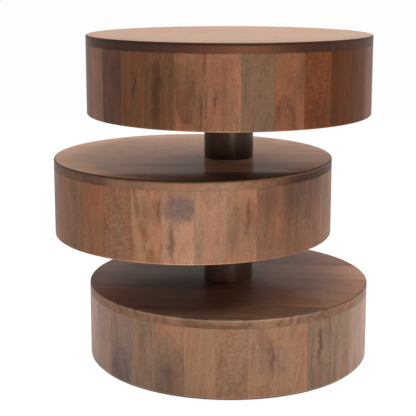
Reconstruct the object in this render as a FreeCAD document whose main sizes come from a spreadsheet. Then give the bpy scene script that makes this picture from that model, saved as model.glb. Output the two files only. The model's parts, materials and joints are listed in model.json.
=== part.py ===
"""Tiered side table: three coopered wooden drums on one column, the middle one on a swivel.

Millimetres. The origin is on the column's axis at floor level, +Z is up and the front is -Y.
Each drum is a round panel on a wall of separate upright staves, closed by a floor panel. The
middle drum hangs off-centre and turns on two flanged bushes round a spacer sleeve, between two
thrust washers. One bolt from below clamps posts, spacer, washers and drums onto the column.
"""
import FreeCAD, Part
import math
import os
import re
import sys

import Sketcher

Vector = FreeCAD.Vector

SIZES = [
    # the drums
    ("TierDiameter", 460, "outside diameter of every drum"),
    ("TierHeight", 127, "height of every drum"),
    ("TierGap", 75, "clear height between two drums"),
    ("TopThickness", 15, "top panel"),
    ("SpigotDepth", 3, "step under the top panel that centres it in the wall"),
    ("BoardWidth", 80, "boards that the top panel is glued up from"),
    ("WallThickness", 22, "stave, from its flat inner face to the turned outer face"),
    ("StaveCount", 30, "staves in one wall"),
    ("GlueLine", 0.1, "glue between two staves or two boards"),
    ("EdgeRound", 2.5, "eased outer edges"),
    ("SeamChamfer", 0.6, "fine chamfer where the panel meets the wall"),
    ("FloorThickness", 12, "floor panel"),
    ("RimDepth", 3, "floor panel's underside above the wall's rim"),
    ("FitClearance", 0.3, "round what is let into another piece"),
    ("SeatClearance", 0.1, "round what is pressed, screwed or glued in"),
    # how the drums are turned
    ("BottomTurn", -4.6, "degrees, the bottom wall's joints"),
    ("MiddleTurn", 2.3, "degrees, the middle wall's joints"),
    ("TopTurn", 4.3, "degrees, the top wall's joints"),
    ("MiddleOffset", 64, "middle drum's axis from the column's axis"),
    ("MiddleBearing", 158, "degrees from +X to the middle drum's axis"),
    # felt ring under the bottom drum
    ("FeltThickness", 3, "felt ring"),
    ("FeltInset", 4, "felt ring's edge inside the wall's outer face"),
    ("FeltWidth", 12, "felt ring"),
    # blocks inside the walls, and the screws that come up into them
    ("CleatCount", 6, "blocks in one drum"),
    ("CleatLength", 40, "along the wall"),
    ("CleatDepth", 24, "into the drum"),
    ("CleatHeight", 32, "up from the floor panel"),
    ("CleatChamfer", 6, "on the upper inner edge"),
    ("ScrewDiameter", 4, "shank"),
    ("ScrewHead", 8, "countersunk head"),
    ("ScrewHeadDepth", 2.4, "countersunk head"),
    ("ScrewLength", 30, "head included"),
    # hub blocks
    ("HubDiameter", 140, "hub block of every drum"),
    ("TopHubHeight", 60, "hub block in the top drum"),
    # column
    ("ColumnDiameter", 38, "steel tube"),
    ("ColumnWall", 3, "steel tube"),
    ("ColumnClearance", 0.3, "round the tube, in posts, panels and blocks"),
    ("ColumnFoot", 40, "tube's lower end above the floor"),
    ("DrawGap", 5, "room under the tube for the bolt to draw it down"),
    ("FlangeDiameter", 120, "plate at the tube's upper end"),
    ("FlangeThickness", 6, "plate at the tube's upper end"),
    ("FlangeScrewCount", 6, "screws through the plate"),
    ("FlangeScrewCircle", 88, "diameter of the ring of screws"),
    ("PlugLength", 25, "threaded plug in the tube's lower end"),
    ("BoltDiameter", 12, "clamp bolt"),
    ("BoltHeadWidth", 19, "across the flats"),
    ("BoltHeadHeight", 7.5, "clamp bolt"),
    ("BoltTurn", 10, "degrees, how the head was left turned"),
    ("BoltReach", 20, "thread inside the plug"),
    ("BoltClearance", 0.5, "round the bolt in the plate and the hub"),
    ("PlateDiameter", 90, "clamp plate"),
    ("PlateThickness", 5, "clamp plate"),
    ("AccessDiameter", 120, "hole in the bottom drum's floor panel"),
    # posts
    ("PostDiameter", 80, "round wooden posts"),
    ("PostRound", 1.2, "eased ends of the posts"),
    ("ShadowGap", 1.5, "upper post's skirt above the middle drum"),
    ("SkirtBore", 74, "recess in the upper post that hides the bearing"),
    # swivel
    ("SpacerDiameter", 46, "spacer sleeve, outside"),
    ("WasherDiameter", 72, "thrust washers"),
    ("WasherThickness", 2, "thrust washers"),
    ("BushDiameter", 54, "bushes, outside"),
    ("BushLength", 32, "bushes, under the flange"),
    ("BushFlange", 68, "bushes' flange diameter"),
    ("FlangeHeight", 3, "bushes' flange thickness"),
    ("RunningFit", 0.05, "radial play of the bushes on the spacer"),
    ("EndPlay", 0.3, "play between the upper bush and its washer"),
    ("HubRelief", 1.5, "room round the spacer between the bushes"),
]

# heights above the floor and radii that follow from the sizes, as formulas of the sheet
TIER_RADIUS = "TierDiameter / 2"
INNER_RADIUS = f"({TIER_RADIUS} - WallThickness)"
FLOOR_RADIUS = f"({INNER_RADIUS} - FitClearance)"
SCREW_RADIUS = f"({INNER_RADIUS} - CleatDepth / 2)"
COLUMN_RADIUS = "(ColumnDiameter / 2)"
COLUMN_BORE = f"({COLUMN_RADIUS} + ColumnClearance)"
SPACER_RADIUS = "(SpacerDiameter / 2)"
BUSH_SEAT = "(BushDiameter / 2 + SeatClearance)"
BOLT_BORE = "(BoltDiameter / 2 + BoltClearance)"

MIDDLE_BASE = "(TierHeight + TierGap)"
MIDDLE_FLOOR = f"({MIDDLE_BASE} + RimDepth)"
TOP_BASE = f"({MIDDLE_BASE} * 2)"
TOP_FLOOR = f"({TOP_BASE} + RimDepth)"
LOWER_POST_TOP = f"({MIDDLE_FLOOR} - FlangeHeight - WasherThickness)"
SPACER_FOOT = f"({MIDDLE_FLOOR} - FlangeHeight)"
SPACER_HEAD = f"({MIDDLE_BASE} + TierHeight + FlangeHeight + EndPlay)"
UPPER_POST_FOOT = f"({MIDDLE_BASE} + TierHeight + ShadowGap)"
PLATE_TOP = "(FeltThickness + RimDepth + FloorThickness)"
PLATE_FOOT = f"({PLATE_TOP} - PlateThickness)"
FLANGE_FOOT = f"({TOP_FLOOR} + FloorThickness + TopHubHeight)"

doc = FreeCAD.newDocument("TieredSideTable")
sheet = doc.addObject("Spreadsheet::Sheet", "Sizes")
subparts = []


def fill_sheet():
    """Writes the driving sizes: name, value and what it is, one row each."""
    for row, (name, size, note) in enumerate(SIZES, start=1):
        sheet.set(f"A{row}", name)
        sheet.set(f"B{row}", str(size))
        sheet.set(f"C{row}", note)
        sheet.setAlias(f"B{row}", name)
    doc.recompute()


def sized(formula):
    """The formula with every size's name pointed at the sheet."""
    return re.sub(r"\b[A-Z][A-Za-z]+", lambda name: f"Sizes.{name.group(0)}", formula)


def value(formula):
    """The formula's present value."""
    return float(sheet.evalExpression(sized(formula)))


def plane(body, role):
    """The body's own origin plane or axis with this role."""
    return next(item for item in body.Origin.OriginFeatures if item.Role == role)


def new_body(name):
    body = doc.addObject("PartDesign::Body", name)
    body.Label = name
    subparts.append(body)
    return body


def new_sketch(body, name, role):
    sketch = body.newObject("Sketcher::SketchObject", name)
    sketch.AttachmentSupport = (plane(body, role), [""])
    sketch.MapMode = "FlatFace"
    return sketch


def bind(sketch, kind, *ends_and_formula):
    """Adds one dimension between these ends to the sketch and ties it to its formula."""
    *ends, formula = ends_and_formula
    number = sketch.addConstraint(Sketcher.Constraint(kind, *ends, value(formula)))
    sketch.setExpression(f"Constraints[{number}]", sized(formula))


def draw_outline(sketch, corners):
    """A closed outline of straight lines, each corner held by its two formulas."""
    points = [Vector(value(across), value(up), 0) for across, up in corners]
    count = len(points)
    first = sketch.GeometryCount
    for index in range(count):
        sketch.addGeometry(Part.LineSegment(points[index], points[(index + 1) % count]))
    for index, (across, up) in enumerate(corners):
        line = first + index
        following = first + (index + 1) % count
        sketch.addConstraint(Sketcher.Constraint("Coincident", line, 2, following, 1))
        bind(sketch, "DistanceX", -1, 1, line, 1, across)
        bind(sketch, "DistanceY", -1, 1, line, 1, up)


def place(body, across="0", along="0", up="0", turn="0"):
    """Ties the body's place, and its turn about +Z in degrees, to formulas."""
    body.setExpression("Placement.Base.x", sized(across))
    body.setExpression("Placement.Base.y", sized(along))
    body.setExpression("Placement.Base.z", sized(up))
    body.Placement.Rotation = FreeCAD.Rotation(Vector(0, 0, 1), value(turn))
    body.setExpression("Placement.Rotation.Angle", sized(turn))


def turned(name, corners, **where):
    """A piece turned round +Z from its half section: corners are (radius, height)."""
    body = new_body(name)
    sketch = new_sketch(body, f"{name}_section", "XZ_Plane")
    draw_outline(sketch, corners)
    spin = body.newObject("PartDesign::Revolution", f"{name}_turning")
    spin.Profile = sketch
    spin.ReferenceAxis = (sketch, ["V_Axis"])
    spin.Angle = 360
    place(body, **where)
    doc.recompute()
    return body


def tube_section(inner, outer, low, high):
    return [(inner, low), (outer, low), (outer, high), (inner, high)]


def circle_edges(shape, radius, height):
    """Names of the round edges with this radius at this height, in the body's own frame."""
    names = []
    for number, edge in enumerate(shape.Edges, start=1):
        if edge.Curve.TypeId != "Part::GeomCircle":
            continue
        at_height = abs(edge.BoundBox.ZMax - height) + abs(edge.BoundBox.ZMin - height) < 0.001
        if at_height and abs(edge.Curve.Radius - radius) < 0.001:
            names.append(f"Edge{number}")
    return names


def dress(body, kind, radius, height, size):
    """A fillet or chamfer on the round edges with this radius and height."""
    base = body.Tip
    prop = {"Fillet": "Radius", "Chamfer": "Size"}[kind]
    feature = body.newObject(f"PartDesign::{kind}", f"{body.Name}_{kind.lower()}_{len(body.Group)}")
    feature.Base = (base, circle_edges(base.Shape, value(radius), value(height)))
    feature.setExpression(prop, sized(size))
    doc.recompute()


def extrude(body, sketch, kind, length, **settings):
    """A pad or a pocket of the sketch, with its length tied to a formula."""
    feature = body.newObject(f"PartDesign::{kind}", f"{sketch.Name}_{kind.lower()}")
    feature.Profile = sketch
    feature.setExpression("Length", sized(length))
    for name, setting in settings.items():
        setattr(feature, name, setting)
    doc.recompute()
    return feature


def ring_of(body, count):
    """Repeats the whole body round +Z as separate solids."""
    body.AllowCompound = True
    pattern = body.newObject("PartDesign::PolarPattern", f"{body.Name}_ring")
    pattern.TransformMode = "Whole shape"
    pattern.Axis = (plane(body, "Z_Axis"), [""])
    pattern.Angle = 360
    pattern.setExpression("Occurrences", sized(count))
    body.Tip = pattern
    doc.recompute()


def stave_wall(name, low, high, **where):
    """The coopered wall: staves with mitred sides, a flat inner face and a turned outer face."""
    body = new_body(name)
    sketch = new_sketch(body, f"{name}_stave", "XY_Plane")
    half = "180 / StaveCount"
    inner = f"({INNER_RADIUS} * tan({half}) - GlueLine / 2 / cos({half}))"
    outer = f"({TIER_RADIUS} * sin({half}) - GlueLine / 2 * cos({half}))"
    flat, radius = value(INNER_RADIUS), value(TIER_RADIUS)
    near, far = value(inner), value(outer)
    reach = math.sqrt(radius ** 2 - far ** 2)
    spread = math.asin(far / radius)
    turned_face = Part.ArcOfCircle(Part.Circle(Vector(), Vector(0, 0, 1), radius), -spread, spread)
    sketch.addGeometry(Part.LineSegment(Vector(flat, -near, 0), Vector(flat, near, 0)))
    sketch.addGeometry(Part.LineSegment(Vector(flat, near, 0), Vector(reach, far, 0)))
    sketch.addGeometry(turned_face)
    sketch.addGeometry(Part.LineSegment(Vector(reach, -far, 0), Vector(flat, -near, 0)))
    for ends in ((0, 2, 1, 1), (1, 2, 2, 2), (2, 1, 3, 1), (3, 2, 0, 1), (2, 3, -1, 1)):
        sketch.addConstraint(Sketcher.Constraint("Coincident", *ends))
    bind(sketch, "Radius", 2, TIER_RADIUS)
    bind(sketch, "DistanceX", -1, 1, 0, 1, INNER_RADIUS)
    bind(sketch, "DistanceX", -1, 1, 0, 2, INNER_RADIUS)
    bind(sketch, "DistanceY", -1, 1, 0, 1, f"-{inner}")
    bind(sketch, "DistanceY", -1, 1, 0, 2, inner)
    bind(sketch, "DistanceY", -1, 1, 2, 1, f"-{outer}")
    bind(sketch, "DistanceY", -1, 1, 2, 2, outer)
    height = f"({high} - {low})"
    extrude(body, sketch, "Pad", height)
    dress(body, "Fillet", TIER_RADIUS, "0", "EdgeRound")
    dress(body, "Chamfer", TIER_RADIUS, height, "SeamChamfer")
    ring_of(body, "StaveCount")
    place(body, up=low, **where)
    return body


def top_panel(name, up, bore="0", **where):
    """The round panel on the wall, with a step below that centres it inside the staves."""
    corners = [
        (bore, "-SpigotDepth"),
        (FLOOR_RADIUS, "-SpigotDepth"),
        (FLOOR_RADIUS, "0"),
        (TIER_RADIUS, "0"),
        (TIER_RADIUS, "TopThickness"),
        (bore, "TopThickness"),
    ]
    body = turned(name, corners, up=up, **where)
    dress(body, "Fillet", TIER_RADIUS, "TopThickness", "EdgeRound")
    dress(body, "Chamfer", TIER_RADIUS, "0", "SeamChamfer")
    part_boards(body)
    return body


def part_boards(body):
    """Parts the panel along its glue lines into boards that run along the body's X."""
    side = f"floor({TIER_RADIUS} / BoardWidth)"
    sketch = new_sketch(body, f"{body.Name}_glue_line", "XY_Plane")
    low = f"-{side} * BoardWidth - GlueLine / 2"
    high = f"-{side} * BoardWidth + GlueLine / 2"
    draw_outline(sketch, [("-TierDiameter", low), ("TierDiameter", low),
                          ("TierDiameter", high), ("-TierDiameter", high)])
    before = body.Shape.Volume
    body.AllowCompound = True
    line = extrude(body, sketch, "Pocket", "TierHeight", Midplane=True)
    pattern = body.newObject("PartDesign::LinearPattern", f"{body.Name}_glue_lines")
    pattern.Originals = [line]
    pattern.Direction = (plane(body, "Y_Axis"), [""])
    pattern.Mode = "Spacing"
    pattern.setExpression("Offset", sized("BoardWidth"))
    pattern.setExpression("Occurrences", sized(f"2 * {side} + 1"))
    body.Tip = pattern
    doc.recompute()
    if body.Shape.Volume >= before:
        sys.exit(f"{body.Name}: the glue lines part nothing")


def bore_through(body, name, across, along, radius):
    """A round hole right through the body, off its own axis."""
    sketch = new_sketch(body, f"{name}_hole", "XY_Plane")
    centre = Vector(value(across), value(along), 0)
    sketch.addGeometry(Part.Circle(centre, Vector(0, 0, 1), value(radius)))
    bind(sketch, "Radius", 0, radius)
    bind(sketch, "DistanceX", -1, 1, 0, 3, across)
    bind(sketch, "DistanceY", -1, 1, 0, 3, along)
    before = body.Shape.Volume
    extrude(body, sketch, "Pocket", "TierHeight", Midplane=True)
    if body.Shape.Volume >= before:
        sys.exit(f"{name}: the hole cuts nothing")


def screw_section(axis, head, way, play="0"):
    """Half section of a countersunk screw on an axis at this radius, or of its hole.

    head is the height of the head's flat face, way is + for a screw that points up and - for one
    that points down, and play is the hole's clearance round it.
    """
    shank = f"{axis} + ScrewDiameter / 2 + {play}"
    return [
        (axis, head),
        (f"{axis} + ScrewHead / 2 + {play}", head),
        (shank, f"{head} {way} ScrewHeadDepth"),
        (shank, f"{head} {way} (ScrewLength - ScrewDiameter + {play})"),
        (axis, f"{head} {way} (ScrewLength + {play})"),
    ]


def spin_section(body, name, kind, section, axis):
    """Turns a half section round an upright line at this radius, to add or to cut."""
    sketch = new_sketch(body, f"{name}_section", "XZ_Plane")
    draw_outline(sketch, section)
    upright = Part.LineSegment(Vector(value(axis), 0, 0), Vector(value(axis), 1, 0))
    line = sketch.addGeometry(upright, True)
    sketch.addConstraint(Sketcher.Constraint("Vertical", line))
    sketch.addConstraint(Sketcher.Constraint("PointOnObject", line, 1, -1))
    bind(sketch, "DistanceX", -1, 1, line, 1, axis)
    bind(sketch, "DistanceY", line, 1, line, 2, "ScrewLength")
    feature = body.newObject(f"PartDesign::{kind}", f"{name}_{kind.lower()}")
    feature.Profile = sketch
    feature.ReferenceAxis = (sketch, ["Axis0"])
    feature.Angle = 360
    doc.recompute()
    return feature


def screw_ring(name, axis, head, way, count, **where):
    """A ring of countersunk screws."""
    body = new_body(name)
    spin_section(body, name, "Revolution", screw_section(axis, head, way), axis)
    ring_of(body, count)
    place(body, **where)
    return body


def screw_holes(body, name, axis, head, way, count):
    """Cuts a ring of screw holes into the body."""
    before = body.Shape.Volume
    section = screw_section(axis, head, way, "SeatClearance")
    cut = spin_section(body, name, "Groove", section, axis)
    pattern = body.newObject("PartDesign::PolarPattern", f"{name}_ring")
    pattern.Originals = [cut]
    pattern.Axis = (plane(body, "Z_Axis"), [""])
    pattern.Angle = 360
    pattern.setExpression("Occurrences", sized(count))
    body.Tip = pattern
    doc.recompute()
    if body.Shape.Volume >= before:
        sys.exit(f"{name}: the screw holes cut nothing")


def cleats(name, **where):
    """The blocks glued into the wall, each with a pilot hole for the screw from below."""
    body = new_body(name)
    sketch = new_sketch(body, f"{name}_side", "XZ_Plane")
    inner = f"({INNER_RADIUS} - CleatDepth)"
    corners = [
        (inner, "0"),
        (INNER_RADIUS, "0"),
        (INNER_RADIUS, "CleatHeight"),
        (f"{inner} + CleatChamfer", "CleatHeight"),
        (inner, "CleatHeight - CleatChamfer"),
    ]
    draw_outline(sketch, corners)
    extrude(body, sketch, "Pad", "CleatLength", Midplane=True)
    before = body.Shape.Volume
    pilot = screw_section(SCREW_RADIUS, "-FloorThickness", "+", "SeatClearance")
    spin_section(body, f"{name}_pilot", "Groove", pilot, SCREW_RADIUS)
    if body.Shape.Volume >= before:
        sys.exit(f"{name}: the pilot hole cuts nothing")
    ring_of(body, "CleatCount")
    place(body, **where)
    return body


def floor_panel(name, bore, **where):
    """The panel let into the underside of a drum, with its ring of screw holes."""
    body = turned(name, tube_section(bore, FLOOR_RADIUS, "0", "FloorThickness"), **where)
    screw_holes(body, f"{name}_screw", SCREW_RADIUS, "0", "+", "CleatCount")
    return body


def drum(tier, base, rim, panel_bore, floor_bore, **where):
    """One drum on its own axis: wall, top panel, floor panel, cleats and floor screws."""
    wall_top = f"({base} + TierHeight - TopThickness)"
    floor = f"({rim} + RimDepth)"
    cleat_foot = f"({floor} + FloorThickness)"
    stave_wall(f"{tier}_tier_stave_wall", rim, wall_top, **where)
    panel = top_panel(f"{tier}_tier_top_panel", wall_top, panel_bore, **where)
    closing = floor_panel(f"{tier}_tier_floor_panel", floor_bore, up=floor, **where)
    cleats(f"{tier}_tier_cleats", up=cleat_foot, **where)
    screw_ring(f"{tier}_tier_floor_screws", SCREW_RADIUS, "0", "+", "CleatCount",
               up=floor, **where)
    return panel, closing


def bottom_drum():
    drum("bottom", "0", "FeltThickness", COLUMN_BORE, "AccessDiameter / 2", turn="BottomTurn")
    felt_edge = f"({TIER_RADIUS} - FeltInset)"
    turned("felt_ring", tube_section(f"{felt_edge} - FeltWidth", felt_edge, "0", "FeltThickness"))
    hub_top = "TierHeight - TopThickness - SpigotDepth"
    shoulder = "ColumnFoot - DrawGap"
    turned("bottom_tier_hub_block", [
        (BOLT_BORE, PLATE_TOP),
        ("HubDiameter / 2", PLATE_TOP),
        ("HubDiameter / 2", hub_top),
        (COLUMN_BORE, hub_top),
        (COLUMN_BORE, shoulder),
        (BOLT_BORE, shoulder),
    ])


def middle_drum():
    """The drum that swivels: its hub is bored off-centre for the two bushes."""
    to_column = "(MiddleBearing + 180 - MiddleTurn)"
    across = f"MiddleOffset * cos({to_column})"
    along = f"MiddleOffset * sin({to_column})"
    panels = drum("middle", MIDDLE_BASE, MIDDLE_BASE, "0", "0", turn="MiddleTurn",
                  across="MiddleOffset * cos(MiddleBearing)",
                  along="MiddleOffset * sin(MiddleBearing)")
    for panel in panels:
        bore_through(panel, panel.Name, across, along, BUSH_SEAT)
    hub_foot = f"{MIDDLE_FLOOR} + FloorThickness"
    hub_top = f"{MIDDLE_BASE} + TierHeight - TopThickness - SpigotDepth"
    lower_seat = f"{MIDDLE_FLOOR} + BushLength + FitClearance"
    upper_seat = f"{MIDDLE_BASE} + TierHeight - BushLength - FitClearance"
    relief = f"{SPACER_RADIUS} + HubRelief"
    turned("middle_tier_hub_block", [
        (BUSH_SEAT, hub_foot),
        ("HubDiameter / 2", hub_foot),
        ("HubDiameter / 2", hub_top),
        (BUSH_SEAT, hub_top),
        (BUSH_SEAT, upper_seat),
        (relief, upper_seat),
        (relief, lower_seat),
        (BUSH_SEAT, lower_seat),
    ])
    bush("lower_swivel_bush", "-", MIDDLE_FLOOR)
    bush("upper_swivel_bush", "+", f"{MIDDLE_BASE} + TierHeight")


def bush(name, way, seat):
    """A flanged bush: the flange lies outside its seat, the barrel goes the other way."""
    inner = f"{SPACER_RADIUS} + RunningFit"
    flange_face = f"0 {way} FlangeHeight"
    barrel_end = f"0 {way} -BushLength"
    turned(name, [
        (inner, flange_face),
        ("BushFlange / 2", flange_face),
        ("BushFlange / 2", "0"),
        ("BushDiameter / 2", "0"),
        ("BushDiameter / 2", barrel_end),
        (inner, barrel_end),
    ], up=seat)


def top_drum():
    drum("top", TOP_BASE, TOP_BASE, "0", COLUMN_BORE, turn="TopTurn")
    hub = turned("top_tier_hub_block",
                 tube_section(COLUMN_BORE, "HubDiameter / 2", "-TopHubHeight", "0"),
                 up=FLANGE_FOOT)
    screw_holes(hub, "top_hub_screw", "FlangeScrewCircle / 2", "FlangeThickness", "-",
                "FlangeScrewCount")


def column():
    """The tube with its flange above and its threaded plug below, and what clamps it."""
    turned("column_tube", tube_section(f"{COLUMN_RADIUS} - ColumnWall", COLUMN_RADIUS,
                                       "ColumnFoot", FLANGE_FOOT))
    flange = turned("column_flange",
                    tube_section("0", "FlangeDiameter / 2", "0", "FlangeThickness"),
                    up=FLANGE_FOOT)
    screw_holes(flange, "flange_screw", "FlangeScrewCircle / 2", "FlangeThickness", "-",
                "FlangeScrewCount")
    screw_ring("column_flange_screws", "FlangeScrewCircle / 2", "FlangeThickness", "-",
               "FlangeScrewCount", up=FLANGE_FOOT)
    turned("column_plug", tube_section("BoltDiameter / 2 + SeatClearance",
                                       f"{COLUMN_RADIUS} - ColumnWall - SeatClearance",
                                       "0", "PlugLength"), up="ColumnFoot")
    turned("clamp_plate", tube_section(BOLT_BORE, "PlateDiameter / 2", PLATE_FOOT, PLATE_TOP))
    clamp_bolt()


def clamp_bolt():
    """Hexagon head below the plate, shank up through the hub into the plug."""
    body = new_body("clamp_bolt")
    sketch = new_sketch(body, "clamp_bolt_head", "XY_Plane")
    corner = "BoltHeadWidth / 2 / cos(30)"
    corners = [(f"{corner} * cos({turn} + BoltTurn)", f"{corner} * sin({turn} + BoltTurn)")
               for turn in range(0, 360, 60)]
    draw_outline(sketch, corners)
    extrude(body, sketch, "Pad", "BoltHeadHeight", Reversed=True)
    shank = new_sketch(body, "clamp_bolt_shank", "XY_Plane")
    shank.addGeometry(Part.Circle(Vector(), Vector(0, 0, 1), value("BoltDiameter / 2")))
    shank.addConstraint(Sketcher.Constraint("Coincident", 0, 3, -1, 1))
    bind(shank, "Radius", 0, "BoltDiameter / 2")
    extrude(body, shank, "Pad", f"ColumnFoot + BoltReach - {PLATE_FOOT}")
    place(body, up=PLATE_FOOT)


def posts():
    lower = turned("lower_post", tube_section(COLUMN_BORE, "PostDiameter / 2",
                                              "TierHeight", LOWER_POST_TOP))
    dress(lower, "Fillet", "PostDiameter / 2", LOWER_POST_TOP, "PostRound")
    recess = f"{SPACER_HEAD} + WasherThickness"
    upper = turned("upper_post", [
        ("SkirtBore / 2", UPPER_POST_FOOT),
        ("PostDiameter / 2", UPPER_POST_FOOT),
        ("PostDiameter / 2", TOP_FLOOR),
        (COLUMN_BORE, TOP_FLOOR),
        (COLUMN_BORE, recess),
        ("SkirtBore / 2", recess),
    ])
    dress(upper, "Fillet", "PostDiameter / 2", UPPER_POST_FOOT, "PostRound")


def swivel():
    """The spacer that the bushes run on, clamped between two thrust washers."""
    turned("spacer_sleeve", tube_section(COLUMN_BORE, SPACER_RADIUS, SPACER_FOOT, SPACER_HEAD))
    for name, foot in (("lower_thrust_washer", LOWER_POST_TOP), ("upper_thrust_washer", SPACER_HEAD)):
        turned(name, tube_section(COLUMN_BORE, "WasherDiameter / 2", "0", "WasherThickness"),
               up=foot)


def check_document():
    """Stops if any object failed, or a sub-part is empty or not valid."""
    doc.recompute()
    for item in doc.Objects:
        if "Invalid" in item.State or "Error" in item.State:
            sys.exit(f"{item.Label}: {item.State}")
    for part in subparts:
        if part.Shape.isNull() or not part.Shape.isValid() or not part.Shape.Solids:
            sys.exit(f"{part.Label}: no valid solid")


def write_parts():
    os.makedirs("parts", exist_ok=True)
    for part in subparts:
        part.Shape.exportStep(os.path.join("parts", f"{part.Label}.step"))
        print(part.Label, len(part.Shape.Solids), "solids", round(part.Shape.Volume), "mm3")


fill_sheet()
bottom_drum()
middle_drum()
top_drum()
column()
posts()
swivel()
check_document()
write_parts()
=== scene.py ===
"""Looks of the tiered side table: coopered drums of lacquered brown wood on two dark posts.

Metres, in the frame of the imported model: the column is the Z axis, the floor is z = 0 and the
front is -Y. Staves, top boards and posts are modelled here as separate timbers, each with its own
grain, tone and figure, and the felt ring as a soft pad. The other nodes keep their CAD shape and
get a material.

Named values come first, then the shapes, the materials, and the stage with its lamps and camera.
"""

import json
import math
import random

import bmesh
import bpy
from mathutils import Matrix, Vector, noise


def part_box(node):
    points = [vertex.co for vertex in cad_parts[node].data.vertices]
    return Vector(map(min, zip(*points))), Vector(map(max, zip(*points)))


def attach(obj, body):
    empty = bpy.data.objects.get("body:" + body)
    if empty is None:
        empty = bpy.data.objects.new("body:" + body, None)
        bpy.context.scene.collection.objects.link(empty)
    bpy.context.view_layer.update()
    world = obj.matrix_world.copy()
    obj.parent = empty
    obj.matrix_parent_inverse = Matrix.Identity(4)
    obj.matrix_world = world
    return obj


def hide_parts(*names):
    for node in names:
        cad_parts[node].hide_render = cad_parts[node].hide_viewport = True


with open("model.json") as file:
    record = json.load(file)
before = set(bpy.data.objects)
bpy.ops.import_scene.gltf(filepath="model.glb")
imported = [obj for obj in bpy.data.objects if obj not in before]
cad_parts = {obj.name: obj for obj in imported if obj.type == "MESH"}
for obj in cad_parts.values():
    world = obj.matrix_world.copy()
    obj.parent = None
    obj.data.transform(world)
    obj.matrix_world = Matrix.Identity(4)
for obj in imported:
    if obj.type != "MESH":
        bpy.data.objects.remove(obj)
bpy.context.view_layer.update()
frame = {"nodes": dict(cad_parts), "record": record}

# the drums
TIER_RADIUS = 0.230
INNER_FLAT = 0.208
STAVES = 30
STAVE_WIDTH = 2 * math.pi * TIER_RADIUS / STAVES
GLUE = 0.0001
EDGE_ROUND = 0.0025
SEAM_CHAMFER = 0.0003
UNDER_EDGE = 0.0030
JOINT_EASE = 0.0004
JOINT_DIP = 0.00004
SPIGOT_RADIUS = 0.2077
BOARD_WIDTH = 0.080
MIDDLE_OFFSET = 0.064
MIDDLE_BEARING = math.radians(158)
MIDDLE_CENTRE = (MIDDLE_OFFSET * math.cos(MIDDLE_BEARING), MIDDLE_OFFSET * math.sin(MIDDLE_BEARING))

# the column, the posts and the felt ring
COLUMN_BORE = 0.0193
BUSH_BORE = 0.0271
POST_RADIUS = 0.040
POST_ROUND = 0.0012
SKIRT_BORE = 0.037
SKIRT_RECESS = 0.0038
FELT_OUTER = 0.226
FELT_INNER = 0.214
FELT_ROUND = 0.0006
FELT_NAP = 0.0002
FELT_NAP_SCALE = 400

# how finely the shapes are divided: rings as shares of the radius or of the height
WALL_ROWS = (0.25, 0.5, 0.75)
PANEL_RINGS_BELOW = (0.0, 0.4, 0.7, 1.0)
PANEL_RINGS_ABOVE = (0.75, 0.5, 0.25, 0.0)
PANEL_STEPS = 180
STAVE_STEPS = 6
ROUND_STEPS = 4
POST_STEPS = 96
FELT_STEPS = 240
SHARP_ANGLE = math.radians(35)
MERGE = 1e-6

# camera, fitted to the photograph's outlines
IMAGE_SIZE = 416
SENSOR = 36
FOCAL_PIXELS = 1075.9
CENTRE_ROW = 168
CAMERA_PLACE = (0, -1.7424, 0.6327)
CAMERA_PITCH = 10.469
CAMERA_YAW = -1.1148

# lamps: name, place, point aimed at, size, watts, colour, and whether reflections show the lamp
WHITE = (1, 1, 1)
LAMPS = (
    ("overhead", (0.35, -0.2, 2.4), (0, 0, 0.4), (1.1, 0.9), 34.5, WHITE, True),
    ("fill", (-0.3, -2.5, 0.10), (0, 0, 0.2), (2.4, 0.2), 16.2, WHITE, False),
    ("left", (-1.6, 1.2, 0.95), (0, 0, 0.25), (0.5, 0.8), 22.5, WHITE, False),
    ("right", (1.6, 1.0, 0.85), (0, 0, 0.25), (0.5, 0.8), 28.5, WHITE, False),
    ("window", (0.36, -1.15, 0.22), (0, 0, 0.3), (0.5, 0.4), 4.0, (1.0, 0.80, 0.64), True),
)

# the world as a light: its strength behind the object and in front of it, and how much is taken
# off overhead
WORLD_BACK = 1.2
WORLD_FRONT = 0.06
WORLD_OVERHEAD_CUT = 0.7

# the floor: half its side, its colour, how white it looks, and how far that hides the shadow
FLOOR_HALF = 30
FLOOR_COLOUR = (0.85, 0.85, 0.85, 1)
FLOOR_GLOW = 1.08
FLOOR_SEEN = 0.88

# wood tones, as linear colours
TONES = {
    "honey": (0.47, 0.250, 0.145),
    "tan": (0.41, 0.210, 0.120),
    "amber": (0.36, 0.155, 0.080),
    "brown": (0.29, 0.145, 0.085),
    "russet": (0.25, 0.090, 0.042),
    "rose": (0.33, 0.155, 0.098),
    "umber": (0.18, 0.080, 0.045),
    "grey": (0.25, 0.145, 0.105),
    "plum": (0.15, 0.072, 0.055),
    "sand": (0.43, 0.250, 0.160),
    "taupe": (0.30, 0.160, 0.115),
    "chestnut": (0.25, 0.080, 0.030),
    "ebony": (0.042, 0.021, 0.013),
}

# how far a timber's shade may stray, as a share of it
STAVE_DRIFT = 0.05
PANEL_DRIFT = 0.03

# the lower rim of a wall, painted paler as a highlight where its rounding catches light from the floor:
# how much paler, and how far up its rounding
RIM_PAINTED_LIGHT = 1.6
RIM_REACH = 0.7

# figures: how strong the growth rings, the streaks, the smoky patches, the pores and the curl are
FIGURES = {
    "plain": (0.30, 0.30, 0.15, 0.8, 0.10),
    "streaky": (0.30, 0.75, 0.25, 1.0, 0.05),
    "smoky": (0.30, 0.40, 0.75, 1.0, 0.20),
    "flamed": (0.75, 0.45, 0.35, 1.0, 0.25),
    "curly": (0.30, 0.30, 0.25, 1.0, 1.00),
    "calm": (0.18, 0.25, 0.10, 0.5, 0.00),
}

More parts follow.
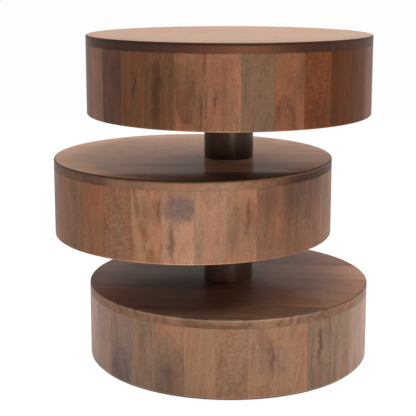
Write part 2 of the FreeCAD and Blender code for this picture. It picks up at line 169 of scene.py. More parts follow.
# how the timbers were cut: the most that their fibres lean, in radians; how far each way their
# places in the log are spread; how far to the side the pith lies, in half widths, and how deep;
# and the log's taper
STAVE_TILT = 0.035
BOARD_TILT = 0.015
POST_TILT = 0.02
LOG_SPREAD = 5
PITH_SIDE = 1.2
PITH_DEPTH = (0.012, 0.070)
LOG_TAPER = (0.03, 0.12)

# a post is one timber with no joint in reach: how far to its right and how far behind it the pith
# lies, and the taper
POST_PITH = (0.05, 0.03, 0.05)
NO_JOINT = 1.0
POST_SHADES = {"lower_post": 1.0, "upper_post": 0.9}

# staves that face the camera: number, tone, shade and figure. The high shades at the drums' outline
# (top 17, bottom 17 to 19, 28 and 29) are partly their tone and partly a painted sheen of grazing
# reflection
VISIBLE = {
    "top": {
        16: ("plum", 1.0, "plain"), 17: ("plum", 1.44, "plain"), 18: ("plum", 0.74, "streaky"),
        19: ("umber", 0.90, "streaky"), 20: ("brown", 0.53, "streaky"), 21: ("rose", 0.88, "flamed"),
        22: ("taupe", 0.96, "streaky"), 23: ("grey", 0.81, "smoky"), 24: ("rose", 0.66, "flamed"),
        25: ("russet", 0.74, "curly"), 26: ("chestnut", 0.40, "streaky"),
        27: ("russet", 0.35, "streaky"), 28: ("plum", 0.87, "plain"),
    },
    "middle": {
        17: ("umber", 1.37, "plain"), 18: ("brown", 0.87, "smoky"), 19: ("amber", 0.87, "plain"),
        20: ("brown", 1.09, "curly"), 21: ("tan", 0.96, "flamed"), 22: ("sand", 0.99, "plain"),
        23: ("sand", 0.85, "streaky"), 24: ("tan", 0.90, "smoky"), 25: ("brown", 0.87, "plain"),
        26: ("brown", 0.72, "streaky"), 27: ("rose", 0.65, "streaky"), 28: ("honey", 0.50, "streaky"),
        29: ("umber", 1.2, "plain"),
    },
    "bottom": {
        17: ("grey", 1.70, "plain"), 18: ("grey", 1.54, "plain"), 19: ("grey", 1.26, "smoky"),
        20: ("sand", 0.68, "streaky"), 21: ("tan", 0.94, "smoky"), 22: ("honey", 0.72, "plain"),
        23: ("tan", 0.75, "curly"), 24: ("tan", 0.83, "smoky"), 25: ("brown", 1.09, "plain"),
        26: ("sand", 0.55, "streaky"), 27: ("sand", 0.60, "streaky"), 28: ("grey", 1.36, "plain"),
        29: ("grey", 1.37, "plain"),
    },
}

# tones of the staves at the back, with the least and the most of each one's shade
HIDDEN = {
    "top": (("umber", 0.75, 1.05), ("rose", 0.55, 0.90), ("brown", 0.55, 0.90), ("grey", 0.70, 0.90),
            ("russet", 0.60, 0.80), ("plum", 0.80, 1.20)),
    "middle": (("tan", 0.65, 0.85), ("honey", 0.60, 0.75), ("brown", 0.75, 0.95),
               ("amber", 0.70, 0.85), ("umber", 1.00, 1.30), ("brown", 0.65, 0.85)),
    "bottom": (("grey", 0.90, 1.10), ("tan", 0.65, 0.80), ("brown", 0.80, 1.00),
               ("amber", 0.75, 0.85), ("honey", 0.55, 0.70), ("tan", 0.65, 0.80)),
}
HIDDEN_FIGURES = ("plain", "streaky", "smoky", "flamed")

# burls and smoky stains on the staves that show, by tier and stave: how far up and across from
# the stave's middle, size and strength. The stains high on the middle drum's staves 25 to 28 are
# painted shade, where the top drum shades their upper part
KNOTS = {
    ("top", 24): (0.016, 0.000, 0.009, 0.15),
    ("middle", 22): (0.028, 0.003, 0.032, 1.00),
    ("bottom", 26): (0.034, 0.000, 0.003, 0.90),
}
STAINS_AND_SHADE = {
    ("top", 20): (0.012, -0.004, 0.020, 0.25),
    ("top", 21): (-0.024, 0.002, 0.030, 0.60),
    ("top", 23): (-0.034, 0.000, 0.030, 0.40),
    ("top", 24): (-0.034, -0.008, 0.022, 0.45),
    ("top", 25): (-0.042, 0.006, 0.026, 0.60),
    ("middle", 21): (0.024, 0.008, 0.020, 0.55),
    ("middle", 22): (0.044, -0.004, 0.026, 0.60),
    ("middle", 24): (-0.014, -0.004, 0.038, 0.60),
    # painted shade: the upper part of these staves, under the top drum's overhang
    ("middle", 25): (0.040, 0.002, 0.032, 0.60),
    ("middle", 26): (0.048, 0.000, 0.038, 0.85),
    ("middle", 27): (0.048, 0.000, 0.040, 1.00),
    ("middle", 28): (0.040, 0.000, 0.030, 0.60),
    ("bottom", 19): (-0.036, 0.000, 0.034, 0.90),
    ("bottom", 21): (-0.022, 0.000, 0.044, 1.00),
    ("bottom", 24): (0.008, 0.010, 0.024, 0.60),
}
NO_MARK = (9.0, 9.0, 0.001, 0.0)

# dark veins along the fibres of those staves: how far up, across and size
VEINS = {
    ("top", 19): (0.004, 0.004, 0.0030),
    ("top", 20): (-0.006, -0.005, 0.0100),
    ("top", 22): (-0.010, -0.012, 0.0030),
    ("middle", 21): (0.024, 0.021, 0.0034),
    ("middle", 22): (-0.024, -0.009, 0.0054),
    ("middle", 24): (0.014, 0.010, 0.0045),
    ("bottom", 24): (0.004, 0.014, 0.0040),
    ("bottom", 26): (0.018, 0.000, 0.0050),
}
NO_VEIN = NO_MARK[:3]

# each top panel's six boards from the front one to the back one: tone, shade and figure. The low shades
# of the middle drum's two front boards are painted shade and a painted dark reflection of the post;
# those of the bottom drum's boards are partly painted shade, where the middle drum shades them
BOARDS = {
    "top": (("sand", 0.82, "calm"), ("sand", 0.85, "calm"), ("sand", 0.87, "calm"),
            ("sand", 0.85, "calm"), ("sand", 0.88, "calm"), ("sand", 0.85, "calm")),
    "middle": (("brown", 0.22, "plain"), ("tan", 0.60, "plain"), ("tan", 1.15, "plain"),
               ("tan", 1.22, "plain"), ("tan", 1.18, "plain"), ("tan", 1.22, "plain")),
    "bottom": (("brown", 0.54, "flamed"), ("amber", 0.36, "streaky"), ("umber", 0.47, "streaky"),
               ("brown", 0.29, "streaky"), ("umber", 0.50, "streaky"), ("brown", 0.56, "streaky")),
}

# how much paler some of those boards grow from the column towards their left and right ends: painted
# light and shade, dark by the column where the post's reflection and the drum above fall, pale where
# light reaches
PAINTED_LIGHT_ENDS = {
    ("middle", 0): (5.4, 2.6),
    ("middle", 1): (0.95, 0.6),
    ("bottom", 0): (0.5, 0.0),
    ("bottom", 1): (0.9, 1.0),
    ("bottom", 2): (0.8, 2.3),
    ("bottom", 3): (1.3, 3.3),
    ("bottom", 4): (0.9, 1.2),
}
EVEN_ENDS = (0, 0)

# the drums as they stand: centre, turn, bore, the body they ride on, how the staves' tones are
# shifted, the tones of the panel's side where it is pale and where it is stained, of its eased
# edge and of the side just under that edge, and how many degrees from the front that last tone
# reaches. The edge and under-edge tones are painted reflection: a dark line along the top and
# middle drums' eased edges, and a pale painted highlight just under the bottom drum's edge at the front
TIERS = {
    "bottom": {
        "centre": (0, 0), "turn": math.radians(-4.6), "bore": COLUMN_BORE, "body": "base",
        "cast": (1.0, 1.09, 1.18),
        "pale": (0.285, 0.163, 0.105), "stained": (0.14, 0.070, 0.050),
        "edge": (0.130, 0.070, 0.048), "under": (0.40, 0.262, 0.180), "reach": 40,
    },
    "middle": {
        "centre": MIDDLE_CENTRE, "turn": math.radians(2.3), "bore": BUSH_BORE, "body": "middle_tier",
        "cast": (1.0, 0.98, 0.98),
        "pale": (0.39, 0.215, 0.135), "stained": (0.050, 0.022, 0.012),
        "edge": (0.050, 0.022, 0.011), "under": (0.150, 0.072, 0.042), "reach": 360,
    },
    "top": {
        "centre": (0, 0), "turn": math.radians(4.3), "bore": 0, "body": "base",
        "cast": (1.0, 0.93, 0.76),
        "pale": (0.28, 0.115, 0.058), "stained": (0.060, 0.026, 0.016),
        "edge": (0.030, 0.014, 0.008), "under": (0.047, 0.021, 0.012), "reach": 360,
    },
}

# the shares of the edge's rounding at which the face's tone ends and the edge's own tone ends
FACE_END = 0.9
EDGE_END = 0.95

# how deep the stain on a panel's side is, from 0 to 1, and where it is deeper or paler: angle from
# the front, half width and change; and how much and how finely it wanders. The middle drum's deeper
# patch on its right is painted shade, where the top drum shades that side
SIDE_STAIN_AND_SHADE = {
    "bottom": (0.12, ((-64, 16, 0.05), (-8, 14, 0.05), (52, 12, 0.30))),
    "middle": (0.64, ((-78, 16, 0.18), (-42, 7, 0.13), (-31, 4, -0.18), (6, 22, -0.50), (56, 22, 0.48))),
    "top": (0.75, ((-58, 20, 0.25), (-30, 10, 0.12), (-2, 10, -0.16), (12, 7, -0.10), (33, 16, 0.30),
                   (62, 20, 0.25))),
}
SIDE_DRIFT = 0.15
SIDE_DRIFT_SCALE = 14

# noise by what it draws: cycles per metre (in wood along, across and through the fibres), detail
# and roughness
NOISE = {
    "grain drift": ((18, 24, 24), 3.0, 0.5),
    "streak": ((7, 100, 100), 4.0, 0.62),
    "fibre": ((22, 900, 900), 3.0, 0.6),
    "smoke": ((13, 26, 26), 4.0, 0.6),
    "cloud": ((26, 18, 18), 3.0, 0.5),
    "ripple": ((170, 24, 24), 2.0, 0.5),
    "dash": ((150, 560, 560), 2.0, 0.6),
    "pore": ((70, 1700, 1700), 1.0, 0.5),
    "warmth": ((9, 40, 40), 3.0, 0.6),
    "curl": ((230, 120, 120), 3.0, 0.6),
    "ring bend": ((10, 26, 26), 3.0, 0.5),
    "ring drift": ((60, 1, 1), 2.0, 0.5),
    "ring gaps": ((30, 90, 90), 3.0, 0.6),
    "burl mottle": ((90, 110, 0), 5.0, 0.7),
    "knot edge": ((160, 200, 0), 5.0, 0.75),
    "stain edge": ((26, 280, 0), 4.0, 0.65),
    "vein edge": ((120, 240, 0), 3.0, 0.6),
    "plain streak": ((4, 130, 60), 4.0, 0.6),
    "plain ring": ((3, 60, 300), 3.0, 0.6),
    "plain pore": ((70, 1500, 1500), 1.0, 0.5),
    "steel grooves": ((60, 60, 2500), 3.0, 0.6),
    "zinc grooves": ((500, 500, 500), 3.0, 0.6),
    "metal patch": ((45, 45, 45), 3.0, 0.6),
    "metal speck": ((900, 900, 900), 1.0, 0.5),
    "nylon flow": ((60, 60, 240), 3.0, 0.5),
    "nylon skin": ((1800, 1800, 1800), 1.0, 0.5),
    "nylon wear": ((30, 30, 600), 2.0, 0.5),
    "felt mat": ((700, 700, 700), 4.0, 0.7),
    "felt hair": ((260, 2400, 1200), 2.0, 0.6),
}

# smooth steps: where each starts from 0 and where it reaches 1
STEPS = {
    "bright streak": (0.48, 0.74),
    "dark streak": (0.50, 0.28),
    "smoke": (0.50, 0.74),
    "dash": (0.48, 0.66),
    "pore": (0.60, 0.72),
    "warmth": (0.34, 0.66),
    "curl": (0.36, 0.64),
    "glue line": (0.0001, 0.0007),
    "late wood": (0.30, 0.90),
    "year end": (0.93, 1.0),
    "ring gaps": (0.30, 0.60),
    "burl mottle": (0.28, 0.72),
    "knot": (0.80, 1.40),
    "stain": (0.90, 2.30),
    "vein": (0.90, 1.90),
    "plain ring": (0.40, 0.68),
    "plain pore": (0.62, 0.76),
    "metal speck": (0.68, 0.76),
    "nylon wear": (0.58, 0.75),
    "felt hair": (0.55, 0.80),
    "world back": (-0.1, 0.6),
    "world overhead": (0.4, 0.8),
}

# relief by surface: strength and depth in metres
BUMPS = {
    "lacquer": (0.25, 0.00008),
    "plain wood": (0.4, 0.0002),
    "metal": (0.3, 0.0001),
    "nylon": (0.3, 0.0001),
    "felt": (0.8, 0.0006),
}

# how far wood's streaks and fibres stand out, where a pore goes 1 deep
GRAIN_RELIEF = 0.5

# roughness by surface: its least, and how much the surface's own pattern adds
ROUGHNESS = {
    "lacquer": (0.42, 0.16),
    "plain wood": (0.62, 0.2),
    "steel": (0.24, 0.2),
    "zinc": (0.30, 0.2),
    "nylon": (0.40, 0.2),
    "felt": (0.85, 0.12),
}

# a mark's outline: cycles per metre and metres of the noise that moves it about, how flat it is
# along the fibres, how ragged, and whether the ragged edge moves with the outline
MARKS = {
    "knot": {"wave": (45, 60, 0), "reach": 0.010, "squash": 1.4, "ragged": 0.6, "torn": False},
    "stain": {"wave": (30, 50, 0), "reach": 0.030, "squash": 0.7, "ragged": 1.6, "torn": True},
    "vein": {"wave": (34, 20, 0), "reach": 0.022, "squash": 0.15, "ragged": 1.2, "torn": False},
}
WAVE_DETAIL = 4.0

# growth rings: metres that they sway, how many there are in a metre, how unevenly they follow each
# other, how far a burl pushes them aside, and how blunt that push is at its heart
RING_SWAY = 0.016
RINGS_PER_METRE = 120.0
RING_DRIFT = 3.0
KNOT_PUSH = 0.008
KNOT_CORE = 0.8

# metres that the grain wanders off its straight course, and the middle of a noise's values
GRAIN_DRIFT = 0.010
NOISE_MIDDLE = 0.5

# what the parts of the figure do to the timber's tone in red, green and blue
TINTS = {
    "late wood": (0.52, 0.42, 0.40),
    "pale streak": (1.28, 1.27, 1.24),
    "smoke": (0.55, 0.60, 0.70),
    "stain": (0.58, 0.64, 0.76),
    "vein": (0.38, 0.40, 0.50),
    "dark burl": (0.38, 0.45, 0.62),
    "pale burl": (0.60, 0.69, 0.90),
    "cool": (0.93, 1.02, 1.02),
    "warm": (1.07, 0.98, 0.96),
}
DARK_STREAK_SHARE = 0.6
VEIN_SHARE = 0.80

# how the finer patterns change the brightness: the least, and how much the pattern adds
CLOUD_LEVEL = (0.84, 0.28)
RIPPLE_LEVEL = (0.94, 0.12)
FIBRE_LEVEL = (0.92, 0.24)

# how much darker they make it
DASH_DARK = 0.17
PORE_DARK = 0.30
CURL_DARK = 0.22
GLUE_DARK = 0.14

# the lacquer on each wood: weight and roughness of the clear coat
LACQUER = {
    "stave_wood": (0.13, 0.28),
    "panel_wood": (0.12, 0.12),
    "post_wood": (0.40, 0.28),
}
LACQUER_IOR = 1.5
LACQUER_SPECULAR = 0.03

# plain timber: the two tones of its streaks, its late wood, its pores, and the coat's weight
PLAIN_WOODS = {
    "inner_wood": ((0.40, 0.25, 0.14, 1), (0.62, 0.43, 0.26, 1), (0.30, 0.17, 0.09, 1),
                   (0.16, 0.09, 0.05, 1), 0.0),
    "floor_wood": ((0.09, 0.042, 0.026, 1), (0.17, 0.085, 0.052, 1), (0.06, 0.028, 0.018, 1),
                   (0.03, 0.016, 0.012, 1), 0.10),
}
PLAIN_RING_SHARE = 0.5
PLAIN_PORE_SHARE = 0.5
PLAIN_COAT_ROUGH = 0.35

# metal: its dark and its light tone, and how strongly its specks show
METALS = {
    "steel": ((0.38, 0.38, 0.39, 1), (0.62, 0.62, 0.63, 1)),
    "zinc": ((0.46, 0.47, 0.46, 1), (0.72, 0.72, 0.69, 1)),
}
SPECK_SHARE = 0.4

# nylon: its dark, light and worn tones, and how strongly the wear shows
NYLON_DARK = (0.74, 0.71, 0.63, 1)
NYLON_LIGHT = (0.86, 0.84, 0.77, 1)
NYLON_WORN = (0.42, 0.41, 0.39, 1)
WEAR_SHARE = 0.3

# felt: its dark and light tones, that of its hairs and how strongly they show, and its sheen
FELT_DARK = (0.05, 0.03, 0.022, 1)
FELT_LIGHT = (0.17, 0.115, 0.085, 1)
FELT_HAIR = (0.24, 0.18, 0.14, 1)
HAIR_SHARE = 0.5
FELT_SHEEN = 0.4

chance = random.Random(41)


class Timbers:
    """A mesh of separate timbers. Every vertex carries where it lies in its own log."""

    LAYERS = ("grain", "local", "tone", "pith", "figure", "knot", "stain", "vein", "marks", "curl")
    OF_THE_LOG = LAYERS[3:]

    def __init__(self):
        self.points = []
        self.faces = []
        self.layers = {name: [] for name in self.LAYERS}

    def add(self, points, faces, along, log, tones=None):
        """Adds one timber: along gives (length, across, depth) of each point in the timber."""
        first = len(self.points)
        self.points += points
        self.faces += [[first + corner for corner in face] for face in faces]
        self.layers["tone"] += tones or [log.tone] * len(points)
        for place in along:
            self.layers["grain"].append(log.grain(place))
            self.layers["local"].append((place[0], place[1], log.half))
            for name in self.OF_THE_LOG:
                self.layers[name].append(getattr(log, name))

    def build(self, name, material, body, slot, *nodes):
        """Makes the mesh and puts it in place of the CAD nodes."""
        mesh = bpy.data.meshes.new(name)
        mesh.from_pydata(self.points, [], self.faces)
        for layer, values in self.layers.items():
            attribute = mesh.attributes.new(layer, "FLOAT_VECTOR", "POINT")
            attribute.data.foreach_set("vector", [number for value in values for number in value])
        mesh.polygons.foreach_set("use_smooth", [True] * len(mesh.polygons))
        mesh.set_sharp_from_angle(angle=SHARP_ANGLE)
        mesh.materials.append(material)
        mesh.validate()
        settle(name, mesh, body, slot, *nodes)


class Log:
    """How one timber was cut: its place in the log, its tone, and its figure."""

    def __init__(self, tone, shade, figure, half, tilt, knot=NO_MARK, stain=NO_MARK, vein=NO_VEIN):
        rings, streaks, smoke, pores, curl = FIGURES[figure]
        self.tone = tuple(level * shade for level in TONES[tone])
        self.figure = (rings, streaks, smoke)
        self.curl = (curl, 0, 0)
        self.half = half
        self.knot = knot[:3]
        self.stain = stain[:3]
        self.vein = vein
        self.marks = (knot[3], stain[3], pores)
        self.tilt = chance.uniform(-tilt, tilt)
        self.shift = Vector(chance.uniform(-LOG_SPREAD, LOG_SPREAD) for _ in range(3))
        self.pith = (self.shift.y + chance.uniform(-PITH_SIDE, PITH_SIDE) * half,
                     self.shift.z - chance.uniform(*PITH_DEPTH),
                     chance.choice((-1, 1)) * chance.uniform(*LOG_TAPER))

    def grain(self, place):
        """A point of the timber, given by its length, across and depth, in the log."""
        length, across, depth = place
        turn_sin, turn_cos = math.sin(self.tilt), math.cos(self.tilt)
        return (self.shift.x + length * turn_cos - across * turn_sin,
                self.shift.y + length * turn_sin + across * turn_cos,
                self.shift.z + depth)


def settle(name, mesh, body, slot, *nodes):
    """Puts a finished mesh into the scene in place of CAD nodes, riding on a body."""
    piece = bpy.data.objects.new(name, mesh)
    bpy.context.scene.collection.objects.link(piece)
    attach(piece, body)
    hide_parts(*nodes)


def span(node):
    """Lowest and highest z of a CAD node."""
    lower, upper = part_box(node)
    return lower[2], upper[2]


def rounded(centre_radius, centre_height, radius, start, stop):
    """Points (radius, height) of an eased edge, from one angle to another in degrees."""
    points = []
    for step in range(ROUND_STEPS + 1):
        angle = math.radians(start + (stop - start) * step / ROUND_STEPS)
        points.append((centre_radius + radius * math.cos(angle),
                       centre_height + radius * math.sin(angle)))
    return points


def strip(here, there, count, rows):
    """Faces between two columns of points that start at here and there, count points in each."""
    faces = []
    for row in range(rows):
        following = (row + 1) % count
        faces.append((here + row, there + row, there + following, here + following))
    return faces


def lathe(profile, steps, closed=False):
    """Turns a profile of (radius, height) round Z into points and faces."""
    points, faces = [], []
    for step in range(steps):
        angle = 2 * math.pi * step / steps
        points += [(radius * math.cos(angle), radius * math.sin(angle), height)
                   for radius, height in profile]
    count = len(profile)
    rows = count if closed else count - 1
    for step in range(steps):
        faces += strip(step * count, (step + 1) % steps * count, count, rows)
    return points, faces


def stave_profile(low, high):
    """Outer side of a stave as (radius, height), from its lower rim up to the seam."""
    return (rounded(TIER_RADIUS - EDGE_ROUND, low + EDGE_ROUND, EDGE_ROUND, -90, 0)
            + [(TIER_RADIUS, low + (high - low) * part) for part in WALL_ROWS]
            + [(TIER_RADIUS, high - SEAM_CHAMFER), (TIER_RADIUS - SEAM_CHAMFER, high)])


def stave_angles():
    """Angles across a stave from its middle, with one close to each joint for the easing."""
    half = math.pi / STAVES - GLUE / 2 / TIER_RADIUS
    ease = JOINT_EASE / TIER_RADIUS
    inner = half - 2 * ease
    angles = [-half, -half + ease]
    angles += [inner * (2 * step / STAVE_STEPS - 1) for step in range(STAVE_STEPS + 1)]
    return angles + [half - ease, half]


def stave(timbers, tier, number, low, high, log):
    """One stave: flat inside, turned outside, its two long joints eased by a hair."""
    centre, turn = TIERS[tier]["centre"], TIERS[tier]["turn"]
    middle = turn + 2 * math.pi * number / STAVES
    middle_height = (low + high) / 2
    angles, profile = stave_angles(), stave_profile(low, high)
    # the lower rim's rounding gets a paler tone: a painted highlight of the floor's light
    rim_highlight = tuple(level * RIM_PAINTED_LIGHT for level in log.tone)
    points, along, tones = [], [], []
    for angle in angles:
        dip = JOINT_DIP if abs(angle) == angles[-1] else 0
        ring = [(INNER_FLAT / math.cos(angle), low)]
        ring += [(radius - dip, height) for radius, height in profile]
        ring.append((INNER_FLAT / math.cos(angle), high))
        for radius, height in ring:
            points.append((centre[0] + radius * math.cos(middle + angle),
                           centre[1] + radius * math.sin(middle + angle), height))
            along.append((height - middle_height, TIER_RADIUS * angle, radius - TIER_RADIUS))
            tones.append(rim_highlight if height < low + RIM_REACH * EDGE_ROUND else log.tone)
    count, last = len(profile) + 2, len(angles) - 1
    faces = []
    for column in range(last):
        faces += strip(column * count, (column + 1) * count, count, count)
    faces.append(tuple(reversed(range(count))))
    faces.append(tuple(range(last * count, (last + 1) * count)))
    timbers.add(points, faces, along, log, tones)


def random_timber(tier):
    """Tone, shade and figure of a stave that the photograph doesn't show."""
    tone, low, high = chance.choice(HIDDEN[tier])
    return tone, chance.uniform(low, high), chance.choice(HIDDEN_FIGURES)


def stave_wall(tier, material):
    """All the staves of one drum; those that face the camera have a chosen tone."""
    node = f"{tier}_tier_stave_wall"
    low, high = span(node)
    timbers = Timbers()
    for number in range(STAVES):
        tone, shade, figure = VISIBLE[tier].get(number) or random_timber(tier)
        shade *= 1 + chance.uniform(-STAVE_DRIFT, STAVE_DRIFT)
        here = (tier, number)
        log = Log(tone, shade, figure, STAVE_WIDTH / 2, STAVE_TILT, KNOTS.get(here, NO_MARK),
                  STAINS_AND_SHADE.get(here, NO_MARK), VEINS.get(here, NO_VEIN))
        log.tone = tuple(level * cast for level, cast in zip(log.tone, TIERS[tier]["cast"]))
        stave(timbers, tier, number, low, high, log)
    timbers.build(f"{tier}_staves", material, TIERS[tier]["body"], "stave_wood", node)


def as_solid(points, faces):
    """A closed bmesh of points and faces, its doubled points merged."""
    solid = bmesh.new()
    corners = [solid.verts.new(point) for point in points]
    for face in faces:
        solid.faces.new([corners[corner] for corner in face])
    bmesh.ops.remove_doubles(solid, verts=solid.verts, dist=MERGE)
    bmesh.ops.recalc_face_normals(solid, faces=solid.faces)
    return solid


def as_object(solid, name):
    """A scene object of a bmesh, which is used up."""
    mesh = bpy.data.meshes.new(name)
    solid.to_mesh(mesh)
    solid.free()
    piece = bpy.data.objects.new(name, mesh)
    bpy.context.scene.collection.objects.link(piece)
    return piece


def panel_solid(low, joint, high, bore, bore_place):
    """The whole round panel before it is parted into boards, as a bmesh on its own axis."""
    profile = [(SPIGOT_RADIUS * part, low) for part in PANEL_RINGS_BELOW]
    profile += [(SPIGOT_RADIUS, joint), (TIER_RADIUS - SEAM_CHAMFER, joint)]
    profile += [(TIER_RADIUS, joint + SEAM_CHAMFER), (TIER_RADIUS, high - EDGE_ROUND - UNDER_EDGE)]
    profile += rounded(TIER_RADIUS - EDGE_ROUND, high - EDGE_ROUND, EDGE_ROUND, 0, 90)
    profile += [(TIER_RADIUS * part, high) for part in PANEL_RINGS_ABOVE]
    solid = as_solid(*lathe(profile, PANEL_STEPS))
    return bored(solid, bore, bore_place, low, high) if bore else solid


def bored(solid, bore, place, low, high):
    """Cuts the round hole for the column or the bushes through the panel."""
    reach = high - low
    points, faces = lathe([(0, low - reach), (bore, low - reach), (bore, high + reach),
                           (0, high + reach)], POST_STEPS)
    panel = as_object(solid, "panel_blank")
    drill = as_object(as_solid([(x + place[0], y + place[1], z) for x, y, z in points], faces),
                      "panel_drill")
    cut = panel.modifiers.new("bore", "BOOLEAN")
    cut.operation = "DIFFERENCE"
    cut.solver = "EXACT"
    cut.object = drill
    bpy.context.view_layer.update()
    result = bmesh.new()
    result.from_object(panel, bpy.context.evaluated_depsgraph_get())
    bpy.data.objects.remove(panel)
    bpy.data.objects.remove(drill)
    return result


def board(solid, low, high):
    """The part of the panel between two glue lines, as points and faces."""
    piece = solid.copy()
    for place, side in ((low, -1), (high, 1)):
        if abs(place) >= TIER_RADIUS:
            continue
        everything = piece.verts[:] + piece.edges[:] + piece.faces[:]
        cut = bmesh.ops.bisect_plane(piece, geom=everything, plane_co=(0, place, 0),
                                     plane_no=(0, side, 0), clear_outer=True)
        rim = [item for item in cut["geom_cut"] if isinstance(item, bmesh.types.BMEdge)]
        bmesh.ops.triangle_fill(piece, edges=rim, use_beauty=True)
    bmesh.ops.recalc_face_normals(piece, faces=piece.faces)
    piece.verts.index_update()
    points = [tuple(vertex.co) for vertex in piece.verts]
    faces = [[vertex.index for vertex in face.verts] for face in piece.faces]
    piece.free()
    return points, faces


def blend(first, second, share):
    """The tone that lies a share of the way from one to another."""
    return tuple(low + (high - low) * share for low, high in zip(first, second))


def hump(distance, half):
    """1 near a place and 0 away from it, falling to a half at the half width."""
    return 1 / (1 + (distance / half) ** 4)


def side_tone(point, angle, tier):
    """The tone of a panel's cut side here, between pale and stained; partly painted shade on the middle
    drum.
    """
    depth, patches = SIDE_STAIN_AND_SHADE[tier]
    depth += SIDE_DRIFT * noise.noise(Vector(point) * SIDE_DRIFT_SCALE)
    depth += sum(change * hump(angle - middle, half) for middle, half, change in patches)
    return blend(TIERS[tier]["pale"], TIERS[tier]["stained"], min(max(depth, 0.0), 1.0))


def surface_tone(point, high, tier, face, ends):
    """The tone of a panel's surface here: the board's own on the face, others on edge and side.
    Some boards hold painted light and shade, and the edge a painted reflection line.
    """
    if math.hypot(point[0], point[1]) < TIER_RADIUS - EDGE_ROUND * FACE_END:
        # painted light and shade along the board: dark by the column, paler towards its ends
        reach = (point[0] + TIERS[tier]["centre"][0]) / TIER_RADIUS
        paler = 1 + max(-reach * ends[0], reach * ends[1])
        return tuple(level * paler for level in face)
    # the eased edge and the strip under it take painted reflection tones: a dark line on the top and
    # middle drums, a pale highlight at the bottom drum's front
    if point[2] > high - EDGE_ROUND * EDGE_END:
        return TIERS[tier]["edge"]
    angle = math.degrees(math.atan2(point[0], -point[1]))
    side = side_tone(point, angle, tier)
    if point[2] > high - EDGE_ROUND - UNDER_EDGE / 2:
        return blend(side, TIERS[tier]["under"], hump(angle, TIERS[tier]["reach"]))
    return side


def top_panel(tier, material):
    """The glued-up panel of one drum, board by board."""
    node = f"{tier}_tier_top_panel"
    bottom, top = span(node)
    joint = span(f"{tier}_tier_stave_wall")[1]
    centre, turn = TIERS[tier]["centre"], TIERS[tier]["turn"]
    turn_sin, turn_cos = math.sin(turn), math.cos(turn)
    hole = (-centre[0] * turn_cos - centre[1] * turn_sin, centre[0] * turn_sin - centre[1] * turn_cos)
    solid = panel_solid(bottom, joint, top, TIERS[tier]["bore"], hole)
    timbers = Timbers()
    in_front = len(BOARDS[tier]) // 2
    for number, (tone, shade, figure) in enumerate(BOARDS[tier]):
        low = (number - in_front) * BOARD_WIDTH + GLUE / 2
        high = (number + 1 - in_front) * BOARD_WIDTH - GLUE / 2
        middle = (low + high) / 2
        points, faces = board(solid, low, high)
        shade *= 1 + chance.uniform(-PANEL_DRIFT, PANEL_DRIFT)
        log = Log(tone, shade, figure, BOARD_WIDTH / 2, BOARD_TILT)
        along = [(x, y - middle, z - top) for x, y, z in points]
        ends = PAINTED_LIGHT_ENDS.get((tier, number), EVEN_ENDS)
        tones = [surface_tone(point, top, tier, log.tone, ends) for point in points]
        placed = [(centre[0] + x * turn_cos - y * turn_sin, centre[1] + x * turn_sin + y * turn_cos, z)
                  for x, y, z in points]
        timbers.add(placed, faces, along, log, tones)
    solid.free()
    timbers.build(f"{tier}_top_boards", material, TIERS[tier]["body"], "panel_wood", node)


def post(node, profile, material):
    """A turned post, its fibres along the column."""
    points, faces = lathe(profile, POST_STEPS, closed=True)
    log = Log("ebony", POST_SHADES[node], "streaky", NO_JOINT, POST_TILT)
    right, behind, taper = POST_PITH
    log.pith = (log.shift.y + right, log.shift.z + behind, taper)
    along = [(z, x, y) for x, y, z in points]
    timbers = Timbers()
    timbers.add(points, faces, along, log)
    timbers.build(f"{node}_turned", material, "base", "post_wood", node)


def posts(material):
    """The lower post, eased at its top, and the upper one, eased at its skirt over the bearing."""
    low, high = span("lower_post")
    ease = rounded(POST_RADIUS - POST_ROUND, high - POST_ROUND, POST_ROUND, 0, 90)
    post("lower_post", [(COLUMN_BORE, low), (POST_RADIUS, low), *ease, (COLUMN_BORE, high)], material)
    low, high = span("upper_post")
    ease = rounded(POST_RADIUS - POST_ROUND, low + POST_ROUND, POST_ROUND, -90, 0)
    post("upper_post", [(SKIRT_BORE, low), *ease, (POST_RADIUS, high), (COLUMN_BORE, high),
                        (COLUMN_BORE, low + SKIRT_RECESS), (SKIRT_BORE, low + SKIRT_RECESS)], material)


def felt_ring(material):
    """The pressed felt under the bottom drum, with a slightly uneven cut edge."""
    low, high = span("felt_ring")
    inner, outer = FELT_INNER + FELT_ROUND, FELT_OUTER - FELT_ROUND
    profile = [(inner, low), (outer, low), (FELT_OUTER, low + FELT_ROUND),
               (FELT_OUTER, high - FELT_ROUND), (outer, high), (inner, high),
               (FELT_INNER, high - FELT_ROUND), (FELT_INNER, low + FELT_ROUND)]
    points, faces = lathe(profile, FELT_STEPS, closed=True)
    uneven = []
    for x, y, z in points:
        nap = FELT_NAP * noise.noise(Vector((x, y, z)) * FELT_NAP_SCALE)
        wider = 1 + nap / math.hypot(x, y)
        uneven.append((x * wider, y * wider, z))
    mesh = bpy.data.meshes.new("felt_pad")
    mesh.from_pydata(uneven, [], faces)
    mesh.materials.append(material)
    mesh.validate()
    settle("felt_pad", mesh, "base", "felt", "felt_ring")


